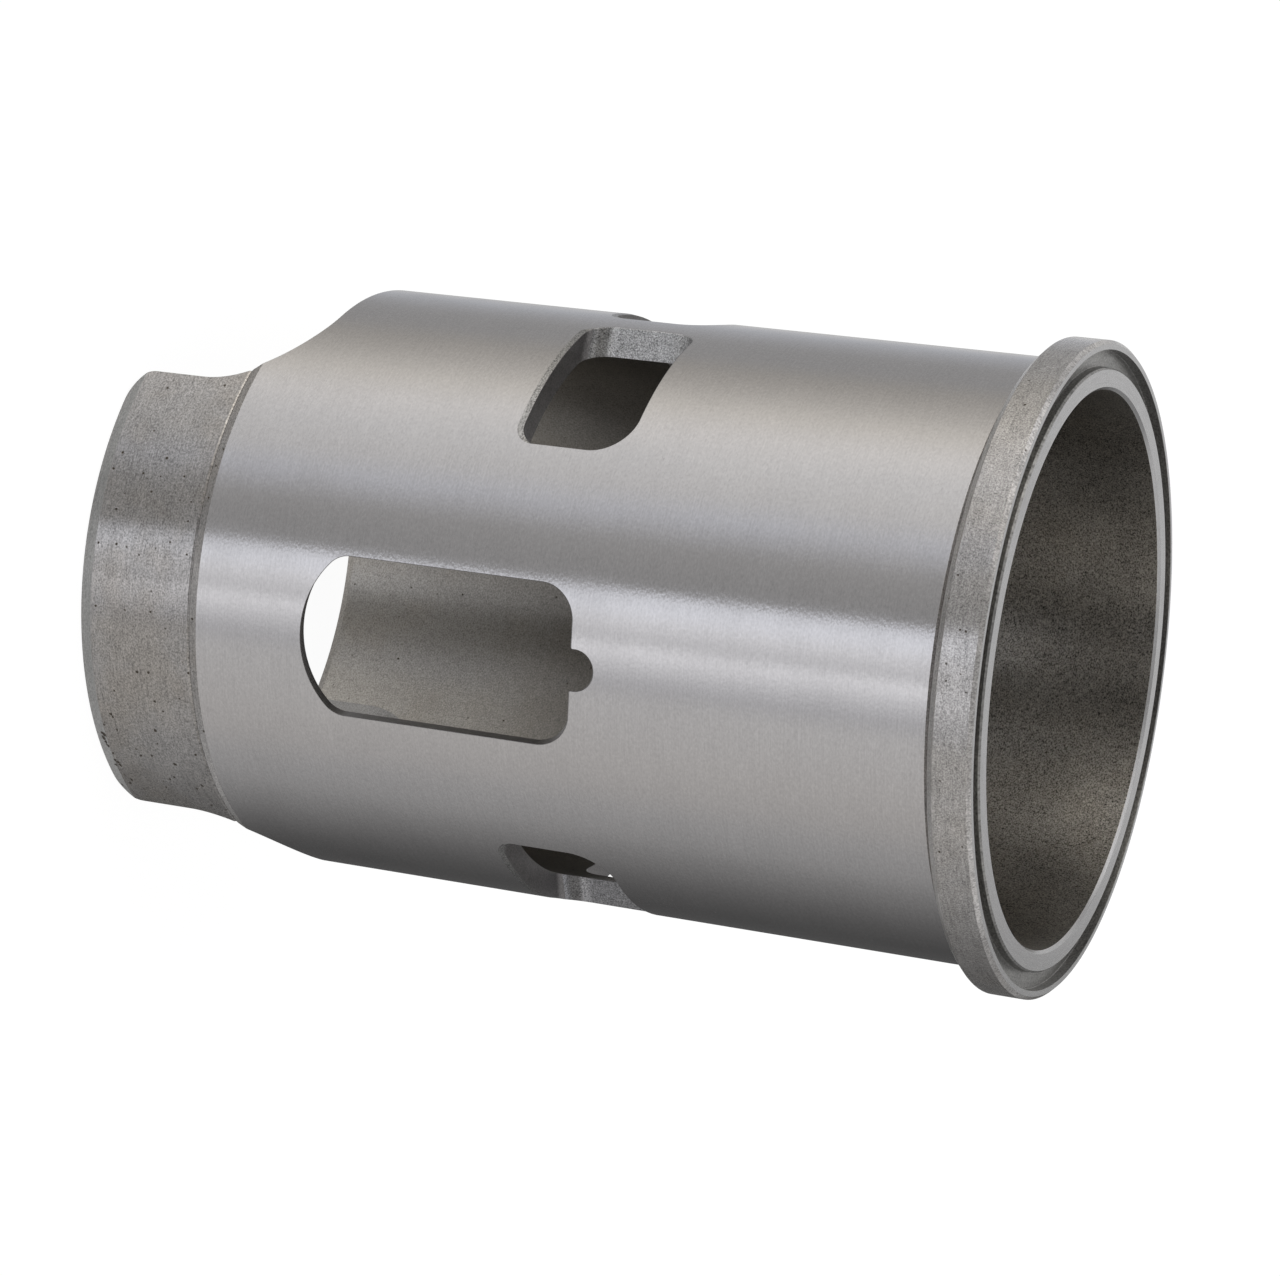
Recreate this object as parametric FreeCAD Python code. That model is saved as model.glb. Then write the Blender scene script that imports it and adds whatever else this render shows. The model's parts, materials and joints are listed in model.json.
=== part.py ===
"""Cylinder liner of a two-stroke engine, turned and milled from one casting.

The liner stands on its skirt end. +Z runs along the bore to the head end, the
intake window faces -Y, the exhaust window faces +Y, and the transfer ports
come in mirrored pairs on +X and -X. Lengths are millimetres, angles degrees.
"""
import FreeCAD
import Part

import math
import os

# Tube
bore_radius = 33.2
wall = 3.1
total_length = 114.3
bore_lead_in = 0.35

# Head flange
flange_overhang = 2.75
flange_height = 5.3
flange_front_chamfer = 0.45
flange_back_chamfer = 0.8
undercut_width = 1.0
undercut_depth = 0.3

# Gasket groove in the head face, with the fire ring inside it
fire_ring_width = 2.61
fire_ring_chamfer = 0.23
groove_width = 2.12
groove_depth = 1.2

# Turned-down skirt
skirt_height = 15.2
skirt_step = 0.25
skirt_cone_length = 0.95
skirt_line_width = 0.35
skirt_line_depth = 0.12
skirt_end_chamfer = 0.46
skirt_end_chamfer_length = 1.6
skirt_lead_in = 0.85
skirt_lead_in_length = 1.2

# Crank clearance arches, cut through both sides of the skirt
arch_half_width = 24.0
arch_height = 21.3
arch_corner_radius = 12.0
arch_foot_radius = 2.8

# Intake window
intake_width = 19.0
intake_floor = 30.2
intake_roof = 64.9
intake_floor_bow = 4.7
intake_floor_fillet = 3.5
intake_roof_radius = 4.0
intake_slope = 21.2
notch_radius = 2.4
notch_offset = 0.5

# Transfer ports, as angles from the intake direction at the outside of the tube
transfer_floor = 52.85
transfer_height = 13.75
transfer_aim = 21.3
front_port_start = 41.4
front_port_sweep = 38.0
rear_port_gap = 7.5
rear_port_sweep = 39.0
front_corner_floor_radius = 2.6
front_corner_roof_radius = 5.0
rear_corner_radius = 3.6
port_relief_width = 0.75
port_relief_depth = 0.12

# Exhaust window
exhaust_width = 38.0
exhaust_height = 24.0
exhaust_corner_radius = 7.0

body_radius = bore_radius + wall
skirt_radius = body_radius - skirt_step
flange_radius = body_radius + flange_overhang
flange_back = total_length - flange_height
rear_port_start = front_port_start + front_port_sweep + rear_port_gap
transfer_roof = transfer_floor + transfer_height
port_belt_top = transfer_floor + exhaust_height

# How far a cutter runs past the faces that it cuts
overrun = wall

CENTRE = FreeCAD.Vector(0, 0, 0)
BORE_AXIS = FreeCAD.Vector(0, 0, 1)


def face_of(wire):
    """Face filling a closed wire."""
    return Part.Face(wire)


def revolve(points):
    """Solid of revolution about the bore axis from (radius, height) corners."""
    corners = [FreeCAD.Vector(radius, 0, height) for radius, height in points]
    outline = Part.makePolygon(corners + corners[:1])
    return face_of(outline).revolve(CENTRE, BORE_AXIS, 360)


def rounded_outline(corners, to_space):
    """Closed wire through (across, height, radius) corners, each rounded to its radius.

    A corner of radius 0 stays sharp. to_space turns (across, height) into a
    point in space.
    """
    bends = []
    count = len(corners)
    for index, (across, height, radius) in enumerate(corners):
        here = FreeCAD.Vector(across, height, 0)
        before = FreeCAD.Vector(*corners[index - 1][:2], 0)
        after = FreeCAD.Vector(*corners[(index + 1) % count][:2], 0)
        to_before = (before - here).normalize()
        to_after = (after - here).normalize()
        half_turn = to_before.getAngle(to_after) / 2
        setback = radius / math.tan(half_turn)
        towards_centre = (to_before + to_after).normalize()
        to_bend = radius / math.sin(half_turn) - radius
        middle = here + towards_centre * to_bend
        bends.append((here + to_before * setback, middle, here + to_after * setback))
    edges = []
    for index, (start, middle, end) in enumerate(bends):
        edges.append(Part.makeLine(to_space(bends[index - 1][2]), to_space(start)))
        if corners[index][2] > 0:
            edges.append(Part.Arc(to_space(start), to_space(middle), to_space(end)).toShape())
    return Part.Wire(edges)


def turned_tube():
    """The bare tube with its flange, undercut, skirt step, bore and end chamfers.

    The bore is three bands: below the port belt, the belt itself, and above it.
    """
    cone_top = skirt_height + skirt_cone_length
    line_middle = skirt_height - skirt_line_width / 2
    return revolve([
        (bore_radius + skirt_lead_in, 0),
        (skirt_radius - skirt_end_chamfer, 0),
        (skirt_radius, skirt_end_chamfer_length),
        (skirt_radius, skirt_height - skirt_line_width),
        (skirt_radius - skirt_line_depth, line_middle),
        (skirt_radius, skirt_height),
        (body_radius, cone_top),
        (body_radius, flange_back - undercut_width),
        (body_radius - undercut_depth, flange_back - undercut_width + undercut_depth),
        (body_radius - undercut_depth, flange_back + undercut_depth),
        (body_radius, flange_back),
        (flange_radius - flange_back_chamfer, flange_back),
        (flange_radius, flange_back + flange_back_chamfer),
        (flange_radius, total_length - flange_front_chamfer),
        (flange_radius - flange_front_chamfer, total_length),
        (bore_radius + bore_lead_in, total_length),
        (bore_radius, total_length - bore_lead_in),
        (bore_radius, port_belt_top),
        (bore_radius, transfer_floor),
        (bore_radius, skirt_lead_in_length),
    ])


def gasket_groove():
    """Ring removed from the head face round the fire ring, with the ring's bevel."""
    inner = bore_radius + fire_ring_width
    outer = inner + groove_width
    return revolve([
        (inner, total_length - groove_depth),
        (outer, total_length - groove_depth),
        (outer, total_length + overrun),
        (inner - fire_ring_chamfer, total_length + overrun),
        (inner - fire_ring_chamfer, total_length),
        (inner, total_length - fire_ring_chamfer),
    ])


def crank_arch_cutter():
    """Prism along X: a slot with rounded top corners and feet that flare at the skirt end."""
    reach = flange_radius + overrun
    corners = [
        (-reach, -overrun, 0),
        (reach, -overrun, 0),
        (reach, 0, 0),
        (arch_half_width, 0, arch_foot_radius),
        (arch_half_width, arch_height, arch_corner_radius),
        (-arch_half_width, arch_height, arch_corner_radius),
        (-arch_half_width, 0, arch_foot_radius),
        (-reach, 0, 0),
    ]
    outline = rounded_outline(corners, lambda point: FreeCAD.Vector(-reach, point.x, point.y))
    return face_of(outline).extrude(FreeCAD.Vector(2 * reach, 0, 0))


def intake_outline(at):
    """Closed outline of the intake window: bowed floor, upright sides and a straight roof.

    The floor's bow meets each side in a fillet. Only the right half is worked
    out, and the left half is its mirror image.
    """
    half = intake_width / 2
    bow_radius = (half ** 2 + intake_floor_bow ** 2) / (2 * intake_floor_bow)
    bow_centre = intake_floor + bow_radius
    fillet_x = half - intake_floor_fillet
    fillet_drop = math.sqrt((bow_radius - intake_floor_fillet) ** 2 - fillet_x ** 2)
    fillet_z = bow_centre - fillet_drop
    joint = math.atan2(fillet_drop, fillet_x)
    shoulder = intake_roof - intake_roof_radius
    roof_x = half - intake_roof_radius
    bend = intake_roof_radius * math.sqrt(0.5)

    def bow_point(angle):
        return at(bow_radius * math.cos(angle), bow_centre - bow_radius * math.sin(angle))

    def fillet_point(angle):
        across = fillet_x + intake_floor_fillet * math.cos(angle)
        return at(across, fillet_z - intake_floor_fillet * math.sin(angle))

    lowest = math.pi / 2
    roof_bend = at(roof_x + bend, shoulder + bend)
    right_half = [
        Part.Arc(bow_point(lowest), bow_point((lowest + joint) / 2), bow_point(joint)).toShape(),
        Part.Arc(bow_point(joint), fillet_point(joint / 2), at(half, fillet_z)).toShape(),
        Part.makeLine(at(half, fillet_z), at(half, shoulder)),
        Part.Arc(at(half, shoulder), roof_bend, at(roof_x, intake_roof)).toShape(),
        Part.makeLine(at(roof_x, intake_roof), at(0, intake_roof)),
    ]
    left_half = [edge.mirror(CENTRE, FreeCAD.Vector(1, 0, 0)) for edge in right_half]
    return Part.Wire(Part.__sortEdges__(right_half + left_half))


def intake_cutter():
    """Prism from outside the -Y wall to the bore's axis, falling inwards by intake_slope.

    Its heights hold on the centre line at the outside of the tube. A round
    notch is cut through the middle of the roof in the same direction.
    """
    fall = math.tan(math.radians(intake_slope))
    face = body_radius + overrun

    def at(across, height):
        return FreeCAD.Vector(across, -face, height + overrun * fall)

    travel = FreeCAD.Vector(0, face, -face * fall)
    window = face_of(intake_outline(at)).extrude(travel)
    notch_centre = at(0, intake_roof + notch_offset)
    rim = Part.makeCircle(notch_radius, notch_centre, FreeCAD.Vector(0, 1, 0))
    notch = face_of(Part.Wire([rim])).extrude(travel)
    return window.fuse(notch)


def exhaust_cutter():
    """Prism from the bore's axis through the +Y wall: a wide window with rounded corners."""
    half = exhaust_width / 2
    floor, roof = transfer_floor, port_belt_top
    corners = [(-half, floor), (half, floor), (half, roof), (-half, roof)]
    rounded = [(across, height, exhaust_corner_radius) for across, height in corners]
    outline = rounded_outline(rounded, lambda point: FreeCAD.Vector(point.x, 0, point.y))
    return face_of(outline).extrude(FreeCAD.Vector(0, body_radius + overrun, 0))


def outside_point(angle):
    """Point on the outside of the tube, angle degrees round from the intake towards +X."""
    turn = math.radians(angle)
    return FreeCAD.Vector(body_radius * math.sin(turn), -body_radius * math.cos(turn), 0)


def transfer_cutter(start, sweep, start_wall):
    """Transfer port on the +X side, lofted between an outer and an inner outline.

    start and sweep give its two upright edges on the outside of the tube.
    start_wall is the inward direction of the wall at start. The far wall
    always follows transfer_aim, so that the gas is sent towards the intake.
    """
    middle = math.radians(start + sweep / 2)
    outward = FreeCAD.Vector(math.sin(middle), -math.cos(middle), 0)
    along = FreeCAD.Vector(math.cos(middle), math.sin(middle), 0)
    walls = [(outside_point(start), start_wall), (outside_point(start + sweep), aim_direction())]
    chord_depth = body_radius * math.cos(math.radians(sweep / 2)) - wall

    def outline(distance):
        """Rounded outline in the plane that lies distance out along the port's middle."""
        across = []
        for edge, inward in walls:
            steps = (distance - edge.dot(outward)) / inward.dot(outward)
            across.append((edge + inward * steps).dot(along))
        near, far = across
        corners = [
            (near, transfer_floor, front_corner_floor_radius),
            (far, transfer_floor, rear_corner_radius),
            (far, transfer_roof, rear_corner_radius),
            (near, transfer_roof, front_corner_roof_radius),
        ]

        def to_space(point):
            return outward * distance + along * point.x + FreeCAD.Vector(0, 0, point.y)

        return rounded_outline(corners, to_space)

    outer = outline(body_radius + overrun)
    inner = outline(chord_depth - overrun)
    return Part.makeLoft([inner, outer], True, True)


def aim_direction():
    """Inward direction of the transfer stream on the +X side."""
    aim = math.radians(transfer_aim)
    return FreeCAD.Vector(-math.cos(aim), -math.sin(aim), 0)


def port_floor_relief(start, sweep):
    """Shallow relief along the outer edge of a transfer port's floor, between its corner radii.

    It slopes from the full depth at the floor to nothing at its width below
    the floor. The cutter goes on at the same slope outside the tube.
    """
    first = start + math.degrees(front_corner_floor_radius / body_radius)
    last = start + sweep - math.degrees(rear_corner_radius / body_radius)
    section = Part.makePolygon([
        FreeCAD.Vector(body_radius - port_relief_depth, 0, transfer_floor),
        FreeCAD.Vector(body_radius + port_relief_depth, 0, transfer_floor - 2 * port_relief_width),
        FreeCAD.Vector(body_radius + port_relief_depth, 0, transfer_floor),
        FreeCAD.Vector(body_radius - port_relief_depth, 0, transfer_floor),
    ])
    ring = face_of(section).revolve(CENTRE, BORE_AXIS, last - first)
    ring.rotate(CENTRE, BORE_AXIS, first - 90)
    return ring


def transfer_ports():
    """Both pairs of transfer ports with their floor bevels."""
    front_middle = math.radians(front_port_start + front_port_sweep / 2)
    front_wall = FreeCAD.Vector(-math.sin(front_middle), math.cos(front_middle), 0)
    cutters = [
        transfer_cutter(front_port_start, front_port_sweep, front_wall),
        port_floor_relief(front_port_start, front_port_sweep),
        transfer_cutter(rear_port_start, rear_port_sweep, aim_direction()),
        port_floor_relief(rear_port_start, rear_port_sweep),
    ]
    mirrored = [cutter.mirror(CENTRE, FreeCAD.Vector(1, 0, 0)) for cutter in cutters]
    return cutters + mirrored


def cylinder_liner():
    """The finished liner as one solid."""
    cutters = [gasket_groove(), crank_arch_cutter(), intake_cutter(), exhaust_cutter()]
    return turned_tube().cut(cutters + transfer_ports())


os.makedirs("parts", exist_ok=True)
cylinder_liner().exportStep("parts/cylinder_liner.step")
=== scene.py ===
"""The ported cylinder liner in a white studio: its dressed mesh, its finishes, the light and the camera.

The liner stands on its skirt end. +Z runs along the bore to the head end, the
intake window faces -Y and the exhaust window +Y. Lengths in the mesh code are
millimetres, and the finished mesh is scaled to metres.
"""
import json
import logging
import math
from dataclasses import dataclass, field, replace
from enum import Enum
from typing import Callable, NamedTuple, Sequence

import bpy
import numpy as np
from mathutils import Matrix
from mathutils.geometry import delaunay_2d_cdt

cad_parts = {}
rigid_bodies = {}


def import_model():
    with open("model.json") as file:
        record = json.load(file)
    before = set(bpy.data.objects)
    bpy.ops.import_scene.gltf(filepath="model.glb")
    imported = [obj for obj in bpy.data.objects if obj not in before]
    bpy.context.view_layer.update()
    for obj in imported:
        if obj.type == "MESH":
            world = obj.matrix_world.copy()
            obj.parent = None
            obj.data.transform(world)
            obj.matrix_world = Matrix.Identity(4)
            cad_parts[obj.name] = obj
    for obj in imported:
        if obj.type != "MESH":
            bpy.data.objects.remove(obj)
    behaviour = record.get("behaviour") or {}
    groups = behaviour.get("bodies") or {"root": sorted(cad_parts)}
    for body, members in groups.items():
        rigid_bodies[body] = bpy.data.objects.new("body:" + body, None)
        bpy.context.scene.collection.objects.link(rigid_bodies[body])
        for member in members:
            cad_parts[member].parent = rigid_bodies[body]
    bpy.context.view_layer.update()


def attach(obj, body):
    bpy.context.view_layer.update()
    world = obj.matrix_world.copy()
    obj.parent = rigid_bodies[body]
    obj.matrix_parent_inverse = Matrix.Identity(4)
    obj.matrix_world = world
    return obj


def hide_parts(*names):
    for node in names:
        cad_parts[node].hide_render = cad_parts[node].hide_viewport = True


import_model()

Array = np.ndarray
LOG = logging.getLogger("liner")
MM = 0.001
TURN = 2 * math.pi
TINY = 1e-6
CHUNK = 4000
CUT_POINTS = 3000


# Outlines


def line(start: Sequence[float], end: Sequence[float], count: int = 60) -> Array:
    """Points evenly spaced on a straight line.

    Args:
        start: First point.
        end: Last point.
        count: Number of points.

    Returns:
        Array of shape (count, 2 or more).
    """
    share = np.linspace(0, 1, count)[:, None]
    return np.asarray(start, float) * (1 - share) + np.asarray(end, float) * share


def arc(centre: Sequence[float], radius: float, first: float, last: float, count: int = 60) -> Array:
    """Points on a circular arc: centre plus radius times (cosine, sine) of an angle.

    Args:
        centre: The arc's centre in its plane.
        radius: The arc's radius.
        first: Angle of the first point, in degrees.
        last: Angle of the last point, in degrees.
        count: Number of points.

    Returns:
        Array of shape (count, 2).
    """
    angle = np.radians(np.linspace(first, last, count))
    return np.asarray(centre, float) + radius * np.stack([np.cos(angle), np.sin(angle)], 1)


def moved_on(points: Array) -> Array:
    """Which points lie apart from the one before them."""
    return np.concatenate([[True], np.linalg.norm(np.diff(points, axis=0), axis=1) > TINY])


def chain(runs: Sequence[Array]) -> Array:
    """Joins runs of points end to end and drops the points that two runs share."""
    points = np.concatenate(runs)
    return points[moved_on(points)]


def spread(points: Array, count: int = CUT_POINTS) -> Array:
    """Spaces points evenly on the line they make, by its length in the first two columns.

    Args:
        points: Shape (n, 2 or more).
        count: Number of points to give back.

    Returns:
        Array of count points with the same columns.
    """
    step = np.linalg.norm(np.diff(points[:, :2], axis=0), axis=1)
    along = np.concatenate([[0], np.cumsum(step)])
    at = np.linspace(0, along[-1], count)
    return np.stack([np.interp(at, along, column) for column in points.T], 1)


def mirrored(half: Array, count: int = CUT_POINTS) -> Array:
    """Half an outline and its mirror image, in evenly spaced points."""
    return spread(chain([half, half[::-1] * (-1, 1)]), count)


def ease(share: Array) -> Array:
    """Goes from 0 to 1 with a level start and end: share squared times (3 - 2 share)."""
    share = np.clip(share, 0, 1)
    return share * share * (3 - 2 * share)


def unit(vectors: Array) -> Array:
    """Vectors scaled to length one."""
    return vectors / np.linalg.norm(vectors, axis=-1, keepdims=True)


def turned(radius: Array | float, angle: Array, height: Array | float) -> Array:
    """Vectors turned round the axis: (radius cos angle, radius sin angle, height)."""
    return np.stack(np.broadcast_arrays(radius * np.cos(angle), radius * np.sin(angle), height), -1)


# The turned form


class Zone(Enum):
    """The liner's finishes, each with the number of its material slot on the mesh."""

    BODY = 0
    SKIRT = 1
    CHAMFER = 2
    FLANGE = 3
    FACE = 4
    GROOVE = 5
    BORE = 6
    WINDOW = 7
    ARCH = 8
    END_WALL = 9
    RELIEF = 10
    # A darker copy of END_WALL for the right-hand ports: painted shade.
    SHADED_WALL = 11
    # The flange's back chamfer, a lighter, duller copy of FLANGE: a painted highlight.
    FLANGE_BACK = 12


@dataclass(frozen=True)
class TurnedForm:
    """Sizes of the turned tube, in millimetres, and the two skins that the windows are cut through."""

    bore_radius: float = 33.2
    body_radius: float = 36.3
    crease: float = 0.05
    edge_break: float = 0.09

    # Radius and height of each corner, from the skirt end up
    outer_profile: tuple[tuple[float, float], ...] = (
        (35.59, 0.0), (36.05, 1.6), (36.05, 14.85), (35.93, 15.025), (36.05, 15.2), (36.3, 16.15), (36.3, 109.0),
    )
    inner_profile: tuple[tuple[float, float], ...] = ((34.05, 0.0), (33.2, 1.2), (33.2, 114.3))

    def profile(self, outer: bool) -> Array:
        """A skin's profile: columns radius and height."""
        return np.array(self.outer_profile if outer else self.inner_profile)

    def breaks(self, outer: bool) -> Array:
        """Heights just below and just above each corner of a skin's profile."""
        corners = self.profile(outer)[1:-1, 1]
        return np.sort(np.concatenate([corners - self.crease, corners + self.crease]))

    def knots(self, outer: bool) -> Array:
        """The breaks' heights, between those of the profile's ends."""
        return np.concatenate([self.profile(outer)[:1, 1], self.breaks(outer), self.profile(outer)[-1:, 1]])

    def radius(self, height: Array, outer: bool) -> Array:
        """Radius of a skin at a height: straight between the profile's corners, which are cut off by a hair."""
        radii, levels = self.profile(outer).T
        return np.interp(height, self.knots(outer), np.interp(self.knots(outer), levels, radii))

    def slope(self, height: Array, outer: bool) -> Array:
        """Change of a skin's radius with height, blended across each corner."""
        radii, levels = self.profile(outer).T
        return np.interp(height, self.knots(outer), np.repeat(np.diff(radii) / np.diff(levels), 2))

    def point(self, angle: Array, height: Array, outer: bool) -> Array:
        """Point on a skin at an angle and a height."""
        return turned(self.radius(height, outer), angle, height)

    def normal(self, angle: Array, height: Array, outer: bool) -> Array:
        """Unit normal of a skin, out of the metal: (cos angle, sin angle, minus the slope), or its opposite inside."""
        normal = unit(turned(1.0, angle, -self.slope(height, outer)))
        return normal if outer else -normal


# The cuts through the wall


@dataclass
class Edge:
    """A line on one skin: its angles, its heights, and its vertices' numbers once it has them."""

    angle: Array
    height: Array
    ids: Array | None = None


@dataclass
class Cut:
    """One edge through the wall: the sharp line on the outer skin and on the inner one, at matching places.

    An edge that runs round the whole tube is open in angle: its last place is
    its first, one turn further on. The zone is the wall's finish, and the
    relief is 1 where the outer edge is hollowed out and 0 where it isn't.
    """

    outer: Edge
    inner: Edge
    zone: int | Array
    round_the_tube: bool = False
    relief: Array | None = None


@dataclass(frozen=True)
class WindowSizes:
    """Sizes of the windows and arches, in millimetres and degrees."""

    intake_half: float = 9.5
    intake_floor: float = 30.2
    intake_roof: float = 64.9
    intake_bow: float = 4.7
    intake_fillet: float = 3.5
    intake_roof_radius: float = 4.0
    intake_slope: float = 21.2
    intake_flare: float = 0.028
    notch_radius: float = 2.4
    notch_offset: float = 0.5
    notch_lip: float = 0.25
    notch_flare: float = 0.3
    notch_reach: float = 4.275
    notch_fade: float = 1.4
    transfer_floor: float = 52.85
    transfer_roof: float = 66.6
    transfer_aim: float = 21.3
    transfers: tuple[tuple[float, float], ...] = ((41.4, 38.0), (86.9, 39.0))
    near_floor_radius: float = 2.6
    near_roof_radius: float = 5.0
    far_radius: float = 3.6
    far_relief: float = 0.432
    exhaust_half: float = 19.0
    exhaust_height: float = 24.0
    exhaust_radius: float = 7.0
    arch_half: float = 24.0
    arch_height: float = 21.3
    arch_radius: float = 12.0
    foot_radius: float = 2.8
    seam_angle: float = 53.5


@dataclass
class WindowCutter:
    """Works out every cut's edge from the window sizes and the turned form."""

    form: TurnedForm
    sizes: WindowSizes

    def intake(self) -> Cut:
        """Intake window: a bowed floor, upright sides and a notched roof, falling inwards.

        A point (across, height) on the window's face runs inwards along -Z as
        the tangent of the slope, and meets each skin where across squared plus
        depth squared is the skin's radius squared. On the way in, the sides
        open by a small share of their distance from the middle, and the notch
        by a larger one.

        Returns:
            The window's edge.
        """
        s = self.sizes
        half, radius = s.intake_half, (s.intake_half**2 + s.intake_bow**2) / (2 * s.intake_bow)
        centre = s.intake_floor + radius
        fillet_x = half - s.intake_fillet
        drop = math.sqrt((radius - s.intake_fillet) ** 2 - fillet_x**2)
        joint = math.degrees(math.atan2(drop, fillet_x))
        shoulder, roof_x = s.intake_roof - s.intake_roof_radius, half - s.intake_roof_radius
        lip_x = math.sqrt((s.notch_radius + s.notch_lip) ** 2 - (s.notch_lip - s.notch_offset) ** 2)
        lip_angle = math.degrees(math.atan2(s.notch_lip - s.notch_offset, lip_x))
        across, level = mirrored(chain([
            arc((0, centre), radius, -90, -joint, 200),
            arc((fillet_x, centre - drop), s.intake_fillet, -joint, 0),
            line((half, centre - drop), (half, shoulder)),
            arc((roof_x, shoulder), s.intake_roof_radius, 0, 90),
            line((roof_x, s.intake_roof), (lip_x, s.intake_roof)),
            arc((lip_x, s.intake_roof + s.notch_lip), s.notch_lip, -90, lip_angle - 180, 40),
            arc((0, s.intake_roof + s.notch_offset), s.notch_radius, lip_angle, 90),
        ])).T
        fall = math.tan(math.radians(s.intake_slope))
        above_roof = level > s.intake_roof - 0.01
        notch = ease((s.notch_reach - np.abs(across)) / s.notch_fade) * above_roof
        widening = 1 + s.intake_flare + (s.notch_flare - s.intake_flare) * notch

        def edge(radius: float, across: Array) -> Edge:
            """The line where the window's face, carried inwards, meets a skin."""
            depth = -np.sqrt(radius**2 - across**2)
            return Edge(np.arctan2(depth, across), level - (depth + self.form.body_radius) * fall)

        outer, inner = edge(self.form.body_radius, across), edge(self.form.bore_radius, across * widening)
        return Cut(outer, inner, Zone.WINDOW.value)

    def exhaust(self) -> Cut:
        """Exhaust window: a rectangle with round corners, cut straight through along Y.

        Returns:
            The window's edge.
        """
        s, r = self.sizes, self.sizes.exhaust_radius
        low, high = s.transfer_floor, s.transfer_floor + s.exhaust_height
        across, level = mirrored(chain([
            line((0, low), (s.exhaust_half - r, low)),
            arc((s.exhaust_half - r, low + r), r, -90, 0),
            line((s.exhaust_half, low + r), (s.exhaust_half, high - r)),
            arc((s.exhaust_half - r, high - r), r, 0, 90),
            line((s.exhaust_half - r, high), (0, high)),
        ])).T
        skins = (self.form.body_radius, self.form.bore_radius)
        outer, inner = (Edge(np.arctan2(np.sqrt(skin**2 - across**2), across), level) for skin in skins)
        return Cut(outer, inner, Zone.WINDOW.value)

    def transfer(self, start: float, sweep: float, square_start: bool, left: bool) -> Cut:
        """Transfer port between two upright walls that lean towards the intake.

        In the frame of the port's middle direction, a place on the edge lies
        at distance d out and p + q d across. It meets a skin of radius R where
        d squared plus (p + q d) squared is R squared.

        Args:
            start: Angle from the intake's middle to the near wall, in degrees.
            sweep: Angle from there to the far wall.
            square_start: Whether the near wall stands square to the tube.
            left: Whether the port is the mirror image, on the -X side.

        Returns:
            The port's edge, with a relief along its floor.
        """
        s, form = self.sizes, self.form
        middle, aim = math.radians(start + sweep / 2), math.radians(s.transfer_aim)
        outward = np.array([math.sin(middle), -math.cos(middle)])
        along = np.array([math.cos(middle), math.sin(middle)])
        aimed = np.array([-math.cos(aim), -math.sin(aim)])
        walls = []
        for at, inward in ((start, -outward if square_start else aimed), (start + sweep, aimed)):
            turn = math.radians(at)
            place = form.body_radius * np.array([math.sin(turn), -math.cos(turn)])
            lean = (inward @ along) / (inward @ outward)
            walls.append((place @ along - lean * (place @ outward), lean))
        (near, near_lean), (far, far_lean) = walls
        low, high = s.transfer_floor, s.transfer_roof
        nf, nr, fr = s.near_floor_radius, s.near_roof_radius, s.far_radius

        def corner(share: float, side: int, up: int, radius: float, first: float) -> Array:
            """A quarter circle in a corner, on the near wall for share 0 and the far one for 1."""
            curve = arc((side * radius, (low if up > 0 else high) + up * radius), radius, first, first + 90)
            return np.column_stack([curve, np.full(len(curve), share)])

        # Columns: offset from the wall, height, share of the way from the near wall to the far one
        outline = np.concatenate([
            line((nf, low, 0), (-fr, low, 1), 200),
            corner(1, -1, 1, fr, -90),
            line((0, low + fr, 1), (0, high - fr, 1)),
            corner(1, -1, -1, fr, 0),
            line((-fr, high, 1), (nr, high, 0), 200),
            corner(0, 1, -1, nr, 90),
            line((0, high - nr, 0), (0, low + nf, 0)),
            corner(0, 1, 1, nf, 180),
        ])
        near_at, far_at = near + near_lean * form.body_radius, far + far_lean * form.body_radius
        flat = np.column_stack([outline[:, 0] + near_at + (far_at - near_at) * outline[:, 2], outline[:, 1]])
        offset, height, share = spread(np.column_stack([flat, outline])[moved_on(flat)])[:, 2:].T
        p, q = near + (far - near) * share + offset, near_lean + (far_lean - near_lean) * share

        def edge(radius: float) -> Edge:
            """The line where the port's walls meet a skin.

            Args:
                radius: The skin's radius.

            Returns:
                The line.
            """
            root = np.sqrt((p * q) ** 2 - (1 + q**2) * (p**2 - radius**2))
            out = (root - p * q) / (1 + q**2)
            x = outward[0] * out + along[0] * (p + q * out)
            y = outward[1] * out + along[1] * (p + q * out)
            return Edge(np.unwrap(np.arctan2(y, -x if left else x)), height)

        above_floor = height - s.transfer_floor
        relief = ease(1 - above_floor / np.where(share < 0.5, s.near_floor_radius, s.far_relief))
        upright = (share > 0.99) & (above_floor > s.far_relief)
        # The right-hand ports' far walls take the darker copy of the end wall: painted shade.
        end = Zone.END_WALL if left else Zone.SHADED_WALL
        zones = np.where(upright, end.value, Zone.WINDOW.value)
        return Cut(edge(form.body_radius), edge(form.bore_radius), zones, relief=relief)

    def skirt_edge(self) -> Cut:
        """The lower edge of the whole tube: both tabs' ends, with an arch between them on each side.

        An arch is cut straight through along X, so that its point (y, height)
        meets each skin at the angle whose sine is y over the skin's radius.

        Returns:
            The edge, from the seam round to the seam.
        """
        s, half, r, foot = self.sizes, self.sizes.arch_half, self.sizes.arch_radius, self.sizes.foot_radius
        across, height = mirrored(chain([
            arc((-half - foot, foot), foot, -90, 0),
            line((-half, foot), (-half, s.arch_height - r)),
            arc((-half + r, s.arch_height - r), r, 180, 90),
            line((-half + r, s.arch_height), (0, s.arch_height)),
        ]), 4000).T
        seam = math.radians(s.seam_angle)

        def tab(*marks: float) -> Array:
            """Places on a tab's flat end, dense between marks that lie far apart."""
            return chain([line((a, 0), (b, 0), 1200 if b - a > 1 else 100) for a, b in zip(marks[:-1], marks[1:])])

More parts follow.
